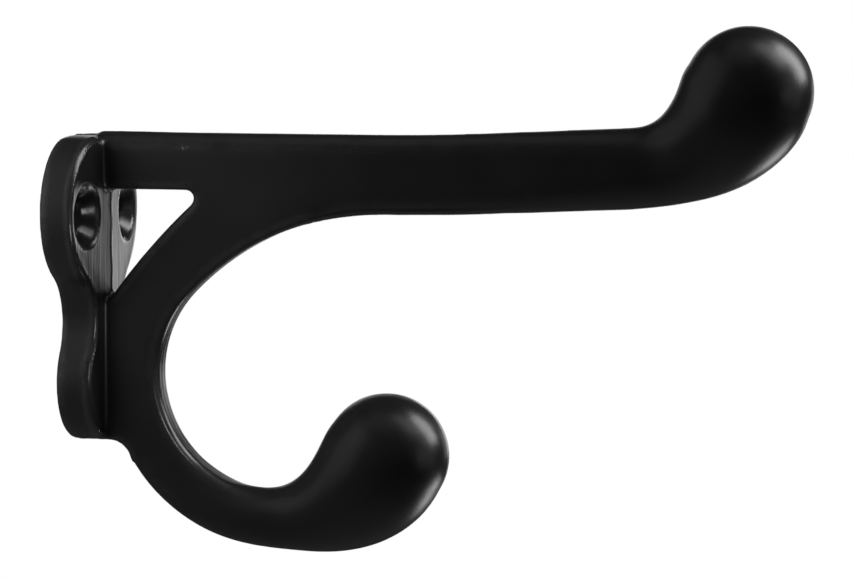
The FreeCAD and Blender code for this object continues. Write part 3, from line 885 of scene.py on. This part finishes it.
@dataclass(frozen=True)
class PhotoCamera:
    """The camera at the photograph's viewing angle.

    Attributes:
        azimuth: Degrees round the hook from the plate's front, towards +X.
        elevation: Degrees above the horizon.
        distance: Metres from the target.
        target: The point in the middle of the picture, in metres.
        lens: Focal length in millimetres.
        sensor: Width of the sensor in millimetres.
        near_limit: Nearest distance that it sees, in metres.
    """

    azimuth: float = -76.1
    elevation: float = 5.2
    distance: float = 0.55
    target: Point = (0.0, -56.21 * MM, -10.78 * MM)
    lens: float = 153.54
    sensor: float = 36.0
    near_limit: float = 0.01

    def towards(self) -> Vector:
        """Work out where the camera stands.

        Returns:
            The direction from the target to the camera, one long.
        """
        azimuth = math.radians(self.azimuth)
        elevation = math.radians(self.elevation)
        level = math.cos(elevation)
        return Vector((math.sin(azimuth) * level, -math.cos(azimuth) * level, math.sin(elevation)))

    def direction(self, right: float, up: float, near: float) -> Vector:
        """Turn a direction of the picture into one of the hook's frame.

        Args:
            right: Share to the picture's right.
            up: Share to the picture's top.
            near: Share towards the camera.

        Returns:
            The direction, one long.
        """
        towards = self.towards()
        across = Vector((0.0, 0.0, 1.0)).cross(towards).normalized()
        upward = towards.cross(across)
        return (across * right + upward * up + towards * near).normalized()

    def build(self) -> None:
        """Set up the scene's camera."""
        data = bpy.data.cameras.new("photo_camera")
        data.lens = self.lens
        data.sensor_width = self.sensor
        data.clip_start = self.near_limit
        camera = bpy.data.objects.new("photo_camera", data)
        camera.location = Vector(self.target) + self.towards() * self.distance
        camera.rotation_euler = self.towards().to_track_quat("Z", "Y").to_euler()
        bpy.context.scene.collection.objects.link(camera)
        bpy.context.scene.camera = camera


@dataclass(frozen=True)
class Lamp:
    """One soft lamp, placed by where it stands in the picture.

    Attributes:
        name: What it lights.
        picture: Its direction from its aim: right, up and towards the camera.
        distance: Metres from its aim.
        width: Width of its soft panel, in metres.
        height: Height of its soft panel, in metres.
        power: Watts.
        aim: The point that it is turned to.
        gloss: Whether its panel shows in reflections.
    """

    name: str
    picture: Point
    distance: float
    width: float
    height: float
    power: float
    aim: Aim
    gloss: bool = True

    def build(self, camera: PhotoCamera) -> None:
        """Hang the lamp.

        Args:
            camera: The camera whose picture its direction is given in.
        """
        data = bpy.data.lights.new(self.name, "AREA")
        data.shape = "RECTANGLE"
        data.size = self.width
        data.size_y = self.height
        data.energy = self.power
        lamp = bpy.data.objects.new(self.name, data)
        direction = camera.direction(*self.picture)
        lamp.location = Vector(self.aim.value) + direction * self.distance
        lamp.rotation_euler = direction.to_track_quat("Z", "Y").to_euler()
        lamp.visible_camera = False
        lamp.visible_glossy = self.gloss
        bpy.context.scene.collection.objects.link(lamp)


LAMPS: tuple[Lamp, ...] = (
    Lamp("window_light", (0.78, 0.56, -0.20), 0.60, 0.26, 0.48, 2.4, Aim.ARMS),
    Lamp("window_fade", (0.64, 0.72, 0.18), 0.60, 0.25, 0.25, 0.48, Aim.ARMS),
    Lamp("sky_light", (0.36, 0.92, 0.12), 0.60, 0.22, 0.22, 0.26, Aim.ARMS),
    Lamp("low_light", (0.60, -0.54, -0.60), 0.60, 0.20, 0.20, 0.50, Aim.ARMS),
    Lamp("left_glow", (-0.90, 0.35, 0.10), 0.80, 0.90, 0.90, 0.60, Aim.ARMS),
    Lamp("right_glow", (0.98, 0.02, 0.18), 0.70, 0.50, 0.50, 0.20, Aim.ARMS),
    Lamp("top_glow", (-0.10, 0.95, 0.25), 0.70, 0.60, 0.60, 0.20, Aim.ARMS),
    Lamp("back_glow", (0.46, 0.05, -0.88), 0.50, 0.30, 0.14, 0.15, Aim.PLATE),
    Lamp("side_light", (0.90, -0.05, 0.43), 0.60, 0.05, 0.08, 0.02, Aim.ARMS),
    Lamp("seat_light", (0.995, 0.0, 0.10), 0.04, 0.008, 0.014, 0.0030, Aim.SEAT_SIDE),
    Lamp("plate_fill", (-0.66, 0.30, 0.69), 0.095, 0.09, 0.09, 0.15, Aim.PLATE, gloss=False),
)


@dataclass
class Studio:
    """Floor, backdrop, lamps and the room's own dim light.

    Attributes:
        camera: The photograph's camera.
        lamps: The lamps.
        floor_drop: How far the floor lies below the hook's frame, in metres.
        floor_width: Width of the floor, in metres.
        floor_paper: The floor's material.
        backdrop_distance: How far the backdrop stands behind the hook, in metres.
        backdrop_half: Half the backdrop's width, in metres.
        backdrop_rise: Heights of its lower and upper edge, in metres.
        backdrop_paper: The backdrop's material.
        room: Strength of the room's light.
        room_mirrored: Share of the room's white that reflections see.
    """

    camera: PhotoCamera = field(default_factory=PhotoCamera)
    lamps: tuple[Lamp, ...] = LAMPS
    floor_drop: float = 1.00
    floor_width: float = 40.0
    floor_paper: StagePaper = StagePaper("floor_paper", shine=0.90, mirrored=0.013)
    backdrop_distance: float = 1.40
    backdrop_half: float = 0.43
    backdrop_rise: Span = (-0.49, 0.42)
    backdrop_paper: StagePaper = StagePaper("backdrop_paper", shine=1.0, mirrored=1.0)
    room: float = 0.01
    room_mirrored: float = 0.02

    def build(self) -> None:
        """Set the stage."""
        self.camera.build()
        self.lay_floor()
        self.hang_backdrop()
        self.light_room()
        for lamp in self.lamps:
            lamp.build(self.camera)
            LOG.info("lamp %s", lamp.name)

    def lay_floor(self) -> None:
        """Lay the pale floor."""
        half = self.floor_width / 2
        corners = [(-half, -half), (half, -half), (half, half), (-half, half)]
        self.panel("floor", [(x, y, -self.floor_drop) for x, y in corners], self.floor_paper)

    def hang_backdrop(self) -> None:
        """Stand the white backdrop behind the hook, square to the camera."""
        towards = self.camera.towards()
        level = Vector((towards.x, towards.y, 0.0)).normalized()
        across = Vector((-level.y, level.x, 0.0))
        middle = Vector(self.camera.target) - level * self.backdrop_distance
        half = self.backdrop_half
        low, high = self.backdrop_rise
        corners = [middle + across * side for side in (-half, half, half, -half)]
        heights = (low, low, high, high)
        self.panel("backdrop", [(c.x, c.y, z) for c, z in zip(corners, heights)], self.backdrop_paper)

    def panel(self, name: str, corners: Sequence[Point], paper: StagePaper) -> None:
        """Add one flat sheet of the stage.

        Args:
            name: The sheet's name.
            corners: Its corners, in order.
            paper: Its material.
        """
        mesh = bpy.data.meshes.new(name)
        mesh.from_pydata(corners, [], [tuple(range(len(corners)))])
        mesh.materials.append(paper_material(paper))
        sheet = bpy.data.objects.new(name, mesh)
        bpy.context.scene.collection.objects.link(sheet)

    def light_room(self) -> None:
        """Fill the room with dim light; the camera sees it as white."""
        world = bpy.data.worlds.new("studio_room")
        world.use_nodes = True
        tree = Tree(world.node_tree)
        dim, white = (
            tree.add("ShaderNodeBackground", {"Color": (1.0, 1.0, 1.0, 1.0), "Strength": strength})
            for strength in (self.room, 1.0)
        )
        mixed = tree.add("ShaderNodeMixShader", {
            "Fac": seen(tree, self.room_mirrored),
            "Shader": dim.outputs["Background"],
            "Shader_001": white.outputs["Background"],
        })
        tree.add("ShaderNodeOutputWorld", {"Surface": mixed.outputs["Shader"]})
        bpy.context.scene.world = world


def clear_scene() -> None:
    """Remove everything that a new file starts with."""
    for thing in list(bpy.data.objects):
        bpy.data.objects.remove(thing, do_unlink=True)


def main() -> None:
    """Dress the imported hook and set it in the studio."""
    logging.basicConfig(level=logging.INFO, format="%(name)s: %(message)s")
    clear_scene()
    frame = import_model()
    bpy.context.scene.view_settings.view_transform = "Standard"
    hook = CastHook()
    piece = hook.build(frame["nodes"][hook.node])
    LOG.info("piece %s: %d faces", piece.name, len(piece.data.polygons))
    Studio().build()


if __name__ == "__main__":
    main()
